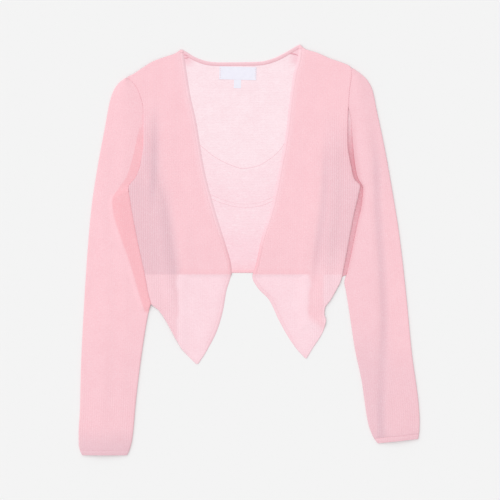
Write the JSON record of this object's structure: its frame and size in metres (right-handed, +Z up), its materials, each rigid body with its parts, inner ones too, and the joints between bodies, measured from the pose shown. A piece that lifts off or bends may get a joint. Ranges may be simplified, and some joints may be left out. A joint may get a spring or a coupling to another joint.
{
  "type": "shawl cardigan",
  "caption": "Cropped open-front cardigan in fine rib knit, laid flat: long set-in sleeves, narrow rolled neck and front band, pointed front hems below a straight back hem.",
  "frame": {"origin": "middle of the garment's bounding box, on the surface that it lies on", "axes": "+Z up from the surface, +Y towards the neck, +X towards the wearer's left sleeve (the viewer's right)"},
  "size_m": [0.5308, 0.6386, 0.006],
  "materials": {
    "knit": "fine ribbed knit, soft matt with a light halo of fibre",
    "knit_inside": "reverse side of the fine knit, soft matt",
    "band": "narrow rolled knit edge, soft matt",
    "label": "blank woven satin label"
  },
  "bodies": {
    "root": {"back_panel": "knit_inside", "back_hem": "band", "back_neck_band": "band", "right_front": "knit", "left_front": "knit", "right_front_band": "band", "left_front_band": "band", "right_sleeve": "knit", "left_sleeve": "knit", "right_cuff_hem": "band", "left_cuff_hem": "band", "neck_label": "label", "size_tab": "label"}
  },
  "joints": []
}
